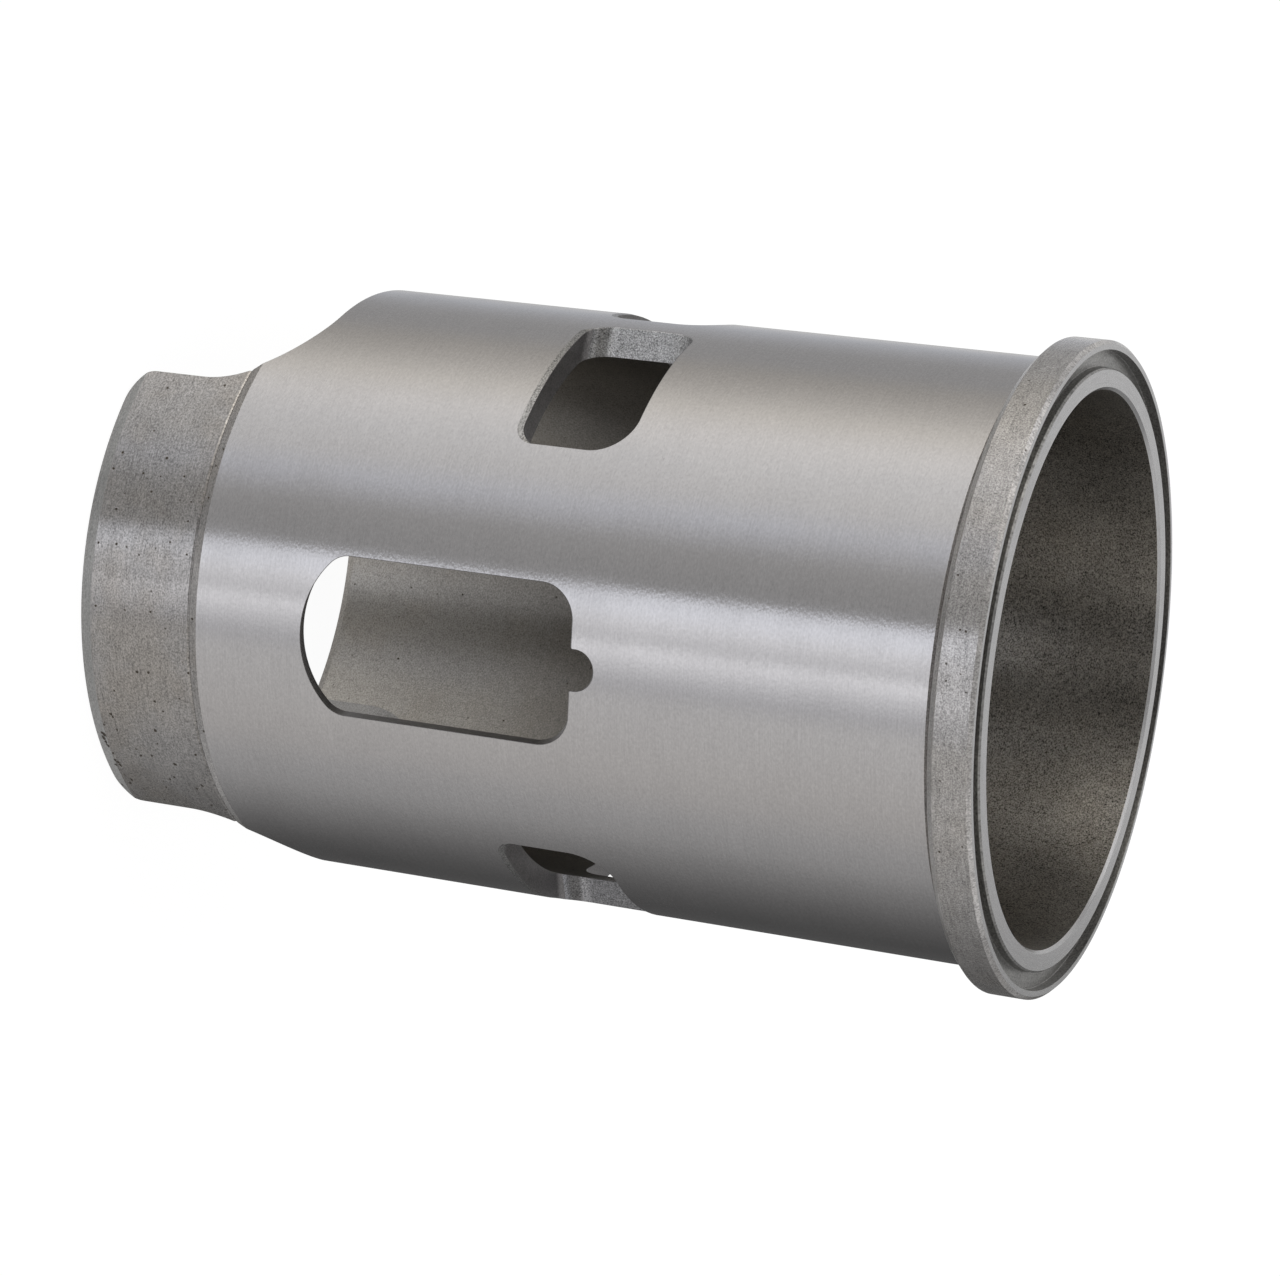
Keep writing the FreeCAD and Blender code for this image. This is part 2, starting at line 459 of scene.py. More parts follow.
        edges = []
        for outer in (True, False):
            swing = np.arcsin(across / self.form.radius(height, outer))
            end = swing[-1]
            places = np.concatenate([
                tab(seam, math.pi - seam, math.pi - end),
                np.column_stack([math.pi + swing, height])[1:-1],
                tab(math.pi + end, math.pi + seam, TURN - seam, TURN - end),
                np.column_stack([TURN + swing, height])[1:-1],
                tab(TURN + end, TURN + seam),
            ])
            edges.append(Edge(*places.T))
        return Cut(*edges, Zone.ARCH.value, round_the_tube=True)


# The mesh


def new_object(name: str, points: Array, faces: list[list[int]]) -> bpy.types.Object:
    """Makes a mesh object at the origin and links it to the scene.

    Args:
        name: The object's name.
        points: Positions in metres, shape (n, 3).
        faces: Vertex numbers of each face.

    Returns:
        The new object.
    """
    mesh = bpy.data.meshes.new(name)
    mesh.from_pydata(points.tolist(), [], faces)
    made = bpy.data.objects.new(name, mesh)
    bpy.context.scene.collection.objects.link(made)
    return made


@dataclass
class MeshStore:
    """Collects vertices, normals, faces and finish numbers of one closed surface."""

    points: list[Array] = field(default_factory=list)
    normals: list[Array] = field(default_factory=list)
    faces: list[Array] = field(default_factory=list)
    zones: list[Array] = field(default_factory=list)
    count: int = 0

    def add(self, points: Array, normals: Array) -> Array:
        """Stores vertices.

        Args:
            points: Positions, last axis x, y, z.
            normals: Unit normals of the same shape.

        Returns:
            The vertices' numbers, in the shape of the other axes.
        """
        shape = points.shape[:-1]
        size = int(np.prod(shape))
        self.points.append(points.reshape(-1, 3))
        self.normals.append(normals.reshape(-1, 3))
        self.count += size
        return np.arange(self.count - size, self.count).reshape(shape)

    def grid(self, ids: Array, zone: Array) -> None:
        """Stores the two triangles of each cell of a grid of vertex numbers.

        Args:
            ids: Vertex numbers, shape (rows, columns).
            zone: Finish number, one for each row of cells as a column, or one for each cell.
        """
        a, b, c, d = ids[:-1, :-1], ids[:-1, 1:], ids[1:, 1:], ids[1:, :-1]
        for corners in ((a, b, c), (a, c, d)):
            self.triangles(np.stack(corners, -1).reshape(-1, 3), np.broadcast_to(zone, a.shape).ravel())

    def triangles(self, ids: Array, zone: Array) -> None:
        """Stores triangles given as rows of three vertex numbers, each with its finish number."""
        self.faces.append(ids)
        self.zones.append(zone)

    def build(self, name: str) -> bpy.types.Object:
        """Makes the object, with every face turned to its vertices' normals.

        Args:
            name: The object's name.

        Returns:
            The new object, at the origin, in metres.
        """
        points, normals = np.concatenate(self.points) * MM, np.concatenate(self.normals)
        faces, zones = np.concatenate(self.faces), np.concatenate(self.zones)
        distinct = (faces != np.roll(faces, -1, 1)).all(1)
        faces, zones = faces[distinct], zones[distinct]
        corners = points[faces]
        facing = np.cross(corners[:, 1] - corners[:, 0], corners[:, 2] - corners[:, 0])
        wrong = np.einsum("ij,ij->i", facing, normals[faces].sum(1)) < 0
        faces[wrong] = faces[wrong][:, ::-1]
        used, renumbered = np.unique(faces, return_inverse=True)
        faces, points, normals = renumbered.reshape(-1, 3), points[used], normals[used]
        made = new_object(name, points, faces.tolist())
        made.data.polygons.foreach_set("material_index", zones.astype(np.int32))
        made.data.polygons.foreach_set("use_smooth", np.ones(len(faces), bool))
        made.data.update()
        made.data.normals_split_custom_set_from_vertices(normals.tolist())
        return made


def near_box(points: Array, box: Array, margin: float = 0.0) -> Array:
    """Numbers of the points that lie in the box round some others, or within a margin of it."""
    low, high = box.min(0) - margin, box.max(0) + margin
    return np.flatnonzero(((points >= low) & (points <= high)).all(1))


def inside(points: Array, outline: Array) -> Array:
    """Which points lie inside a closed outline, by counting the edges to the right of each.

    Args:
        points: Shape (n, 2).
        outline: Shape (m, 2), not repeated at its end.

    Returns:
        One truth value for each point.
    """
    found = np.zeros(len(points), bool)
    near = near_box(points, outline)
    x, y = points[near, 0][:, None], points[near, 1][:, None]
    ax, ay = outline[:, 0], outline[:, 1]
    bx, by = np.roll(ax, -1), np.roll(ay, -1)
    rise = np.where(by == ay, 1e-12, by - ay)
    crossed = ((ay > y) != (by > y)) & (x < (bx - ax) * (y - ay) / rise + ax)
    found[near] = crossed.sum(1) % 2 == 1
    return found


def clear_of(points: Array, edge: Array, distance: float) -> Array:
    """Which points lie further than a distance from every point of an edge.

    Args:
        points: Shape (n, 2).
        edge: Shape (m, 2).
        distance: The distance to keep.

    Returns:
        One truth value for each point.
    """
    found = np.ones(len(points), bool)
    near = near_box(points, edge, distance)
    for part in np.array_split(near, max(1, len(near) // CHUNK)):
        found[part] = ((points[part][:, None] - edge[None]) ** 2).sum(-1).min(1) > distance**2
    return found


@dataclass
class WallStrip:
    """The surface of one cut: its broken outer edge, the wall between the skins and its broken inner edge.

    Across the strip, an edge break runs from the skin to the wall. With P the
    sharp edge, A its offset on the skin and B its offset down the wall, a
    rounded break is A(1 - sin t) + B(1 - cos t) + P(sin t + cos t - 1), and a
    flat one is A(1 - t) + B t.
    """

    form: TurnedForm
    cut: Cut
    spacing: float = 0.5
    turn_density: float = 6.0
    crossing_gap: float = 0.35
    relief_width: float = 0.75
    relief_depth: float = 0.12
    relief_shown: float = 0.3
    wall_rows: int = 2
    steps: tuple[float, ...] = (0.0, 0.05, 0.35, 0.65, 0.95, 1.0)

    def along(self, values: Array) -> Array:
        """Central difference of values along the edge, which closes on itself, if need be one turn further on."""
        turn = values[-1] - values[0]
        ring = np.concatenate([values[-2:-1] - turn, values, values[1:2] + turn])
        return ring[2:] - ring[:-2]

    def skin_offset(self, edge: Edge, outer: bool, distance: Array) -> Edge:
        """The edge moved over the skin, square to itself and away from the opening.

        Args:
            edge: The sharp edge.
            outer: Which skin.
            distance: How far to move each place, in millimetres.

        Returns:
            The moved edge.
        """
        radius = self.form.radius(edge.height, outer)
        du, dv = self.along(edge.angle) * radius, self.along(edge.height)
        size = np.hypot(du, dv)
        du, dv = du / size, dv / size
        area = (edge.angle[:-1] * edge.height[1:] - edge.angle[1:] * edge.height[:-1]).sum()
        side = -1.0 if area > 0 and not self.cut.round_the_tube else 1.0
        return Edge(edge.angle - side * dv * distance / radius, edge.height + side * du * distance)

    def places(self, heights: Sequence[Array]) -> Array:
        """Places along the edge: about evenly spaced, closer in bends, and exactly where a crease is crossed.

        Args:
            heights: The border's heights on the outer skin and on the inner one.

        Returns:
            The places, as fractional numbers of the edge's points.
        """
        u, v = self.cut.outer.angle * self.form.body_radius, self.cut.outer.height
        heading = np.unwrap(np.arctan2(self.along(v), self.along(u)))
        weight = np.hypot(np.diff(u), np.diff(v)) / self.spacing + self.turn_density * np.abs(np.diff(heading))
        total = np.concatenate([[0], np.cumsum(weight)])
        index = np.arange(len(u), dtype=float)
        even = np.interp(np.linspace(0, total[-1], int(round(total[-1])) + 1), total, index)
        crossings = []
        for height, outer in zip(heights, (True, False)):
            for level in self.form.breaks(outer):
                low, high = height[:-1] - level, height[1:] - level
                hit = np.flatnonzero(low * high < 0)
                crossings.append(hit + low[hit] / (low[hit] - high[hit]))
        exact = np.concatenate(crossings)
        if len(exact):
            gap = np.abs(np.interp(even, index, total)[:, None] - np.interp(exact, index, total)[None]).min(1)
            free = gap > self.crossing_gap
            free[[0, -1]] = True
            even = even[free]
        return np.unique(np.concatenate([even, exact]))

    def build(self, store: MeshStore) -> list[Edge]:
        """Adds the strip to the mesh.

        Args:
            store: Where the mesh is collected.

        Returns:
            The strip's border on the outer skin and on the inner one.
        """
        cut, form, size = self.cut, self.form, self.form.edge_break
        relief = np.zeros(len(cut.outer.angle)) if cut.relief is None else cut.relief
        index = np.arange(len(relief), dtype=float)
        zone = np.broadcast_to(np.asarray(cut.zone, float), len(relief))
        dense: dict[tuple[str, bool], Array] = {("zone", True): zone}
        for outer, edge, hollow in ((True, cut.outer, relief), (False, cut.inner, 0 * relief)):
            row = self.skin_offset(edge, outer, size + (self.relief_width - size) * hollow)
            points = form.point(edge.angle, edge.height, outer)
            named = {"edge": points, "tangent": unit(self.along(points)), "angle": row.angle, "height": row.height}
            named |= {"hollow": hollow, "depth": size + (self.relief_depth - size) * hollow}
            dense |= {(name, outer): values for name, values in named.items()}
        at = self.places([dense["height", True], dense["height", False]])
        last = None if cut.round_the_tube else -1
        table = {key: self.take(values, at, index)[:last] for key, values in dense.items()}

        ruling = unit(table["edge", False] - table["edge", True])
        breaks, walls = [], []
        for outer, down in ((True, ruling), (False, -ruling)):
            place = table["angle", outer], table["height", outer], outer
            row, edge = form.point(*place), table["edge", outer]
            walls.append(self.wall_normal(table["tangent", outer], ruling, row - edge))
            foot = edge + down * table["depth", outer][:, None]
            breaks.append(self.edge_break(row, edge, foot, table["hollow", outer], form.normal(*place), walls[-1]))
        (outer_points, outer_normals), (inner_points, inner_normals) = breaks
        share = np.linspace(0, 1, self.wall_rows + 2)[1:-1, None, None]
        wall_points = outer_points[-1] * (1 - share) + inner_points[-1] * share
        wall_normals = unit(walls[0] * (1 - share) + walls[1] * share)
        points = np.concatenate([outer_points, wall_points, inner_points[::-1]])
        normals = np.concatenate([outer_normals, wall_normals, inner_normals[::-1]])
        if cut.round_the_tube:
            points, normals = points[:, :-1], normals[:, :-1]
        ids = store.add(points, normals)
        ids = np.concatenate([ids, ids[:, :1]], 1)
        cells = ids.shape[1] - 1
        zones = np.tile(np.rint(table["zone", True][:cells]).astype(int), (len(ids) - 1, 1))
        hollow = table["hollow", True][:cells] > self.relief_shown
        zones[: len(self.steps) - 2] = np.where(hollow, Zone.RELIEF.value, zones[0])
        store.grid(ids, zones)
        return [
            Edge(table["angle", outer], table["height", outer], row[:last])
            for outer, row in ((True, ids[0]), (False, ids[-1]))
        ]

    @staticmethod
    def take(values: Array, at: Array, index: Array) -> Array:
        """Values at places between samples, by straight interpolation."""
        columns = [np.interp(at, index, column) for column in np.atleast_2d(values.T)]
        return columns[0] if values.ndim == 1 else np.stack(columns, 1)

    @staticmethod
    def wall_normal(tangent: Array, ruling: Array, away: Array) -> Array:
        """Normal of the cut wall, square to its edge and its ruling, and pointing into the opening."""
        normal = unit(np.cross(tangent, ruling))
        wrong = np.einsum("ij,ij->i", normal, away) > 0
        return np.where(wrong[:, None], -normal, normal)

    def edge_break(
        self, row: Array, edge: Array, foot: Array, flat: Array, skin: Array, wall: Array
    ) -> tuple[Array, Array]:
        """Points and normals across one edge break, from the skin to the wall.

        Args:
            row: The edge's offset on the skin.
            edge: The sharp edge.
            foot: The edge's offset down the wall.
            flat: 0 for a rounded break, 1 for a flat one, between them a blend.
            skin: The skin's normals.
            wall: The wall's normals.

        Returns:
            Points and normals, shape (steps, places, 3).
        """
        t = np.asarray(self.steps)[:, None, None]
        sine, cosine = np.sin(t * math.pi / 2), np.cos(t * math.pi / 2)
        round_points = row * (1 - sine) + foot * (1 - cosine) + edge * (sine + cosine - 1)
        flat_points = row * (1 - t) + foot * t
        slant = unit(foot - row)
        facet = unit(skin - slant * np.einsum("ij,ij->i", skin, slant)[:, None])
        round_normals = unit(skin * cosine + wall * sine)
        flat_normals = np.broadcast_to(facet, round_normals.shape).copy()
        flat_normals[0], flat_normals[-1] = skin, wall
        share = flat[None, :, None]
        points = round_points * (1 - share) + flat_points * share
        return points, unit(round_normals * (1 - share) + flat_normals * share)


@dataclass
class LinerMesh:
    """The whole liner as one closed mesh: two skins with windows, the walls of the cuts, and the turned head end."""

    form: TurnedForm = field(default_factory=TurnedForm)
    sizes: WindowSizes = field(default_factory=WindowSizes)
    columns: int = 320
    row_step: float = 1.8
    lowest_row: float = 0.6
    clearance: float = 0.3
    far_below: float = -99.0
    crease_match: float = 1e-4
    grid_reach: float = 1.01
    edge_reach: float = 2.2
    chamfer_top: float = 1.65
    cone_top: float = 16.22
    head_join_outer: float = 107.94
    head_join_inner: float = 113.9
    fillet_rows: int = 5

    # Radius, height and fillet of each corner of the head end, from the body's outside to the bore
    head_corners: tuple[tuple[float, float, float], ...] = (
        (36.3, 108.0, 0.06), (36.0, 108.3, 0.06), (36.0, 109.3, 0.02), (36.3, 109.0, 0.02), (38.25, 109.0, 0.08),
        (39.05, 109.8, 0.22), (39.05, 113.85, 0.07), (38.6, 114.3, 0.05), (37.93, 114.3, 0.04),
        (37.93, 113.1, 0.12), (35.81, 113.1, 0.12), (35.81, 114.07, 0.05), (35.58, 114.3, 0.05),
        (33.55, 114.3, 0.06), (33.2, 113.95, 0.05),
    )
    # Finish and number of the straights between them, in the same order
    head_zones: tuple[tuple[Zone, int], ...] = (
        # The flange's back chamfer takes a painted highlight.
        (Zone.BODY, 1), (Zone.FLANGE, 4), (Zone.FLANGE_BACK, 1), (Zone.FLANGE, 2), (Zone.FACE, 1),
        (Zone.GROOVE, 4), (Zone.FACE, 2), (Zone.BORE, 1),
    )

    def build(self, name: str) -> bpy.types.Object:
        """Builds the liner.

        Args:
            name: The object's name.

        Returns:
            The finished object.
        """
        store, cutter = MeshStore(), WindowCutter(self.form, self.sizes)
        cuts = [cutter.skirt_edge(), cutter.intake(), cutter.exhaust()]
        for number, (start, sweep) in enumerate(self.sizes.transfers):
            cuts.extend(cutter.transfer(start, sweep, number == 0, left) for left in (False, True))
        borders = zip(*[WallStrip(self.form, cut).build(store) for cut in cuts])
        joins = ((True, self.head_join_outer), (False, self.head_join_inner))
        self.head(store, *[self.skin(store, edges, outer, top) for edges, (outer, top) in zip(borders, joins)])
        return store.build(name)

    def rows(self, outer: bool, top: float) -> Array:
        """Heights of a skin's rows of vertices: its creases, and even steps between them.

        Args:
            outer: Which skin.
            top: Height of the top row.

        Returns:
            The heights, from the lowest up.
        """
        marks = np.unique(np.concatenate([[self.lowest_row], self.form.breaks(outer), [top]]))
        marks = marks[marks <= top]
        runs = [
            np.linspace(low, high, max(1, int(round((high - low) / self.row_step))) + 1)[:-1]
            for low, high in zip(marks[:-1], marks[1:])
        ]
        return np.concatenate([*runs, [top]])

    def skin(self, store: MeshStore, borders: Sequence[Edge], outer: bool, top: float) -> Array:
        """Fills one skin between the lower edge, the windows and its top row.

        The vertices are a grid of (angle, height) and the borders of the
        cuts, joined by Delaunay triangles in the unrolled skin.

        Args:
            store: Where the mesh is collected.
            borders: The lower edge's border, then the windows'.
            outer: Which skin.
            top: Height of the top row.

        Returns:
            Vertex numbers of the top row, the last the same as the first.
        """
        skirt, *windows = borders
        radius = self.form.body_radius if outer else self.form.bore_radius
        squash = (TURN * radius / self.columns) / self.row_step
        start = skirt.angle[0]

        def flat(angle: Array, height: Array) -> Array:
            """Places in the unrolled skin, stretched so that the grid's cells are square."""
            return np.column_stack([angle * radius, height * squash])

        lower, loops = flat(skirt.angle, skirt.height), []
        for window in windows:
            turns = math.floor(((window.angle.max() + window.angle.min()) / 2 - start) / TURN)
            loops.append(flat(window.angle - turns * TURN, window.height))

        heights = self.rows(outer, top)
        angles = start + np.arange(self.columns + 1) * TURN / self.columns
        spot_angle, spot_height = np.meshgrid(angles, heights, indexing="ij")
        spots = flat(spot_angle.ravel(), spot_height.ravel())
        below = np.concatenate([lower, [[lower[-1, 0], self.far_below], [lower[0, 0], self.far_below]]])
        keep = ~inside(spots, below) & clear_of(spots, lower, self.clearance)
        for loop in loops:
            keep &= ~inside(spots, loop) & clear_of(spots, loop, self.clearance)
        keep = keep.reshape(spot_angle.shape)
        keep[:, -1] = keep[0] = keep[-1] = True

        ids = np.full(keep.shape, -1)
        place = spot_angle[:-1][keep[:-1]], spot_height[:-1][keep[:-1]], outer
        ids[:-1][keep[:-1]] = store.add(self.form.point(*place), self.form.normal(*place))
        ids[-1] = ids[0]

        offset = len(lower) + sum(len(loop) for loop in loops)
        spot = np.full(keep.shape, -1)
        spot[keep] = offset + np.arange(int(keep.sum()))
        edges = [np.column_stack([np.arange(len(lower) - 1), np.arange(1, len(lower))])]
        begin = len(lower)
        for loop in loops:
            ring = begin + np.arange(len(loop))
            edges.append(np.column_stack([ring, np.roll(ring, -1)]))
            begin += len(loop)
        for column, low in ((spot[0], 0), (spot[-1], len(lower) - 1)):
            edges.append(np.column_stack([np.concatenate([[low], column[:-1]]), column]))
        edges.append(np.column_stack([spot[:-1, -1], spot[1:, -1]]))
        edges.append(self.crease_edges(spot, lower, heights[heights < top], squash, outer))

        flat_points = np.concatenate([lower, *loops, spots.reshape(*keep.shape, 2)[keep]])
        result = delaunay_2d_cdt(flat_points.tolist(), np.concatenate(edges).tolist(), [], 0, 1e-7, True)
        sources = np.array([source[0] if source else -1 for source in result[3]])
        faces = sources[np.array(result[2])]
        faces = faces[(faces >= 0).all(1)]
        middle = flat_points[faces].mean(1)
        open_face = inside(middle, below)
        for loop in loops:
            open_face |= inside(middle, loop)
        faces, height = faces[~open_face], middle[~open_face, 1] / squash
        zone = np.full(len(height), Zone.BORE.value)
        if outer:
            lowest = [height < self.chamfer_top, height < self.cone_top]
            zone = np.select(lowest, [Zone.CHAMFER.value, Zone.SKIRT.value], Zone.BODY.value)
        numbers = np.concatenate([*(border.ids for border in borders), ids[keep]])
        store.triangles(numbers[faces], zone)
        return ids[:, -1]

    def crease_edges(self, spot: Array, lower: Array, heights: Array, squash: float, outer: bool) -> Array:
        """Edges along each crease, so that the turned lines stay straight up to the cuts.

        Args:
            spot: Number of the point at each column and row of the grid, or -1.
            lower: The lower edge in the unrolled skin.
            heights: Heights of the grid's rows below the top one.
            squash: Stretch of the heights in the unrolled skin.
            outer: Which skin.

        Returns:
            Pairs of point numbers.
        """
        found = []
        width = (lower[-1, 0] - lower[0, 0]) / self.columns
        for level in self.form.breaks(outer):
            if level > heights[-1]:
                continue
            row = spot[:, int(np.argmin(np.abs(heights - level)))]
            on_edge = np.flatnonzero(np.abs(lower[:, 1] / squash - level) < self.crease_match)
            column = np.flatnonzero(row >= 0)
            number = np.concatenate([row[column], on_edge])
            across = np.concatenate([lower[0, 0] + column * width, lower[on_edge, 0]])
            order = np.argsort(across)
            number, step = number[order], np.diff(across[order])
            ends = np.isin(number, on_edge)
            at_edge = ends[:-1] | ends[1:]
            close = step < width * np.where(at_edge, self.edge_reach, self.grid_reach)
            found.append(np.column_stack([number[:-1], number[1:]])[close])
        return np.concatenate(found)

    def head(self, store: MeshStore, outer_top: Array, inner_top: Array) -> None:
        """Turns the head end's profile round the axis, between the two skins' top rows.

        Each corner of the profile is an arc of its fillet radius, over which
        the normal swings from one straight to the next.

        Args:
            store: Where the mesh is collected.
            outer_top: Vertex numbers of the outer skin's top row.
            inner_top: Vertex numbers of the inner skin's top row.
        """
        corners = np.array(self.head_corners)
        first = (self.form.body_radius, self.head_join_outer)
        last = (self.form.bore_radius, self.head_join_inner)
        legs = unit(np.diff(np.concatenate([[first], corners[:, :2], [last]]), axis=0))
        normals = np.column_stack([legs[:, 1], -legs[:, 0]])
        straights = [zone.value for zone, count in self.head_zones for _ in range(count)]
        profile, facing = [], []
        share = np.linspace(0, 1, self.fillet_rows)[:, None]
        for number, row in enumerate(corners):
            corner, fillet = row[:2], row[2]
            before, after = legs[number], legs[number + 1]
            turn = math.acos(float(np.clip(before @ after, -1, 1)))
            setback = fillet * math.tan(turn / 2)
            start, end = corner - before * setback, corner + after * setback
            profile.append(start * (1 - share) ** 2 + 2 * corner * share * (1 - share) + end * share**2)
            facing.append(normals[number] * (1 - share) + normals[number + 1] * share)
        profile, facing = np.concatenate(profile)[..., None], unit(np.concatenate(facing))[..., None]
        angle = math.radians(self.sizes.seam_angle) + np.arange(self.columns) * TURN / self.columns
        made = store.add(turned(profile[:, 0], angle, profile[:, 1]), turned(facing[:, 0], angle, facing[:, 1]))
        ids = np.concatenate([outer_top[None, :-1], made, inner_top[None, :-1]])
        zones = np.concatenate([straights[:1], np.repeat(straights[1:], self.fillet_rows)])
        store.grid(np.concatenate([ids, ids[:, :1]], 1), zones[:, None])


# Shader nodes


def operator(operation: str, reflected: bool = False) -> "Callable[[Wire, Wire | float], Wire]":
    """Makes the method for one of a wire's operators.

    Args:
        operation: The Math node's operation.
        reflected: Whether the wire is the second operand.

    Returns:
        The method, which adds a Math node.
    """

    def join(self: "Wire", other: "Wire | float") -> "Wire":
        """Joins this value and another by the operation."""
        operands = {0: other, 1: self} if reflected else {0: self, 1: other}
        return Graph(self.tree).node("ShaderNodeMath", {"operation": operation}, operands)

    return join


class Wire:
    """A shader socket that takes part in Python arithmetic, one Math node for each operation."""

    __add__, __radd__ = operator("ADD"), operator("ADD", True)
    __sub__, __rsub__ = operator("SUBTRACT"), operator("SUBTRACT", True)
    __mul__, __rmul__ = operator("MULTIPLY"), operator("MULTIPLY", True)
    __truediv__, __rtruediv__ = operator("DIVIDE"), operator("DIVIDE", True)
    __pow__ = operator("POWER")

    def __init__(self, tree: bpy.types.NodeTree, socket: bpy.types.NodeSocket | None) -> None:
        """Wraps an output socket of a node tree."""
        self.tree, self.socket = tree, socket

    def beside(self, output: str | int) -> "Wire":
        """Another output of the same node."""
        return Wire(self.tree, self.socket.node.outputs[output])


Value = Wire | float | Sequence[float]


@dataclass(frozen=True)
class Graph:
    """A node tree, with one method that adds any node."""

    tree: bpy.types.NodeTree

    @classmethod
    def of(cls, owner: bpy.types.Material | bpy.types.World) -> "Graph":
        """The emptied node tree of a new material or world."""
        owner.use_nodes = True
        owner.node_tree.nodes.clear()
        return cls(owner.node_tree)

    def node(
        self,
        kind: str,
        settings: dict[str, object] | None = None,
        sockets: dict[str | int, Value] | None = None,
        output: str | int = 0,
    ) -> Wire:
        """Adds a node.

        Args:
            kind: The node's type.
            settings: Properties set first; "stops" gives a ramp's positions and colours.
            sockets: Values or links of the input sockets, by name or number.
            output: Which output to give back.

        Returns:
            The chosen output.
        """
        made = self.tree.nodes.new(kind)
        for name, value in (settings or {}).items():
            if name == "stops":
                self.ramp(made.color_ramp, value)
            else:
                setattr(made, name, value)
        for name, value in (sockets or {}).items():
            if isinstance(value, Wire):
                self.tree.links.new(value.socket, made.inputs[name])
            else:
                made.inputs[name].default_value = value
        return Wire(self.tree, made.outputs[output] if len(made.outputs) else None)

    @staticmethod
    def ramp(ramp: bpy.types.ColorRamp, stops: Sequence[tuple[float, Sequence[float]]]) -> None:
        """Sets a colour ramp's stops.

        Args:
            ramp: The new node's ramp.
            stops: Positions and colours, at most 32, in order of position.
        """
        while len(ramp.elements) > 1:
            ramp.elements.remove(ramp.elements[-1])
        for number, (position, colour) in enumerate(stops):
            element = ramp.elements[0] if number == 0 else ramp.elements.new(position)
            element.position, element.color = position, (*colour, 1.0)

    def noise(self, vector: Wire, scale: float, detail: float = 2.0, rough: float = 0.5) -> Wire:
        """Noise from 0 to 1, mostly between 0.3 and 0.7."""
        values = {"Vector": vector, "Scale": scale, "Detail": detail, "Roughness": rough}
        return self.node("ShaderNodeTexNoise", {}, values)

    def clamp(self, value: Wire) -> Wire:
        """Holds a value between 0 and 1."""
        return self.node("ShaderNodeClamp", {}, {0: value})

    def span(self, value: Wire, low: float, high: float, start: float = 0.0, end: float = 1.0) -> Wire:
        """Maps low..high to start..end, smoothly, and holds it outside."""
        values = {0: value, 1: low, 2: high, 3: start, 4: end}
        return self.node("ShaderNodeMapRange", {"interpolation_type": "SMOOTHSTEP"}, values)

    def blend(self, share: Value, first: Value, second: Value, way: str = "MIX") -> Wire:
        """Mixes two colours."""
        settings = {"data_type": "RGBA", "blend_type": way, "clamp_factor": True}
        return self.node("ShaderNodeMix", settings, {0: share, 6: first, 7: second}, 2)


# Finishes


@dataclass(frozen=True)
class Grain:
    """One layer of unevenness in the iron.

    Sizes are in millimetres and the depth is in thousandths of one. The tone
    is the share by which it lightens and darkens the iron, and the stretch is
    how many times longer it is round the axis than across.
    """

    size: float
    tone: float
    depth: float = 0.0
    stretch: float = 1.0
    detail: float = 1.0


@dataclass(frozen=True)
class Pores:
    """Fine open pores: the spacing in millimetres, the share of places that have one, and its part of the spacing."""

    spacing: float
    share: float
    width: float = 0.3
    depth: float = 12.0


SKIRT_RADIUS, CHAMFER_HEIGHT, CHAMFER_SLOPE = 36.05, 1.6, 0.29


@dataclass(frozen=True)
class Pit:
    """A small cavity in the skirt: its angle in degrees, its height and its radius in millimetres."""

    angle: float
    height: float
    radius: float

    def centre(self) -> tuple[float, float, float]:
        """Its place on the skirt or on the chamfer below it, in metres."""
        turn = math.radians(self.angle)
        radius = SKIRT_RADIUS - max(0.0, CHAMFER_HEIGHT - self.height) * CHAMFER_SLOPE
        return radius * math.cos(turn) * MM, radius * math.sin(turn) * MM, self.height * MM


# Patterns that all finishes share. Noise scales are in cycles per metre, and where
# a noise is given whole, its detail and roughness follow its scale.
NOISE_GAIN = 7.0
QUARTER_TURN = 0.25
ROUGH_SCALE, ROUGH_DETAIL, ROUGH_SWING = 140.0, 3.0, 0.16
STAIN_NOISE, STAIN_FROM, STAIN_FULL = (85.0, 4.0, 0.62), 0.42, 0.66
PORE_RIM = 12.0
PIT_NOISE, PIT_RAGGED, PIT_OUTER, PIT_INNER, PIT_DEPTH = 2600.0, 2.2, 1.3, 0.85, 12.0
HOLLOW_COLOUR, HOLLOW_COVER, HOLLOW_ROUGH = (0.07, 0.055, 0.04, 1.0), 0.92, 0.3
CALM_REACH, CALM_SHARE = 15.0, 0.4


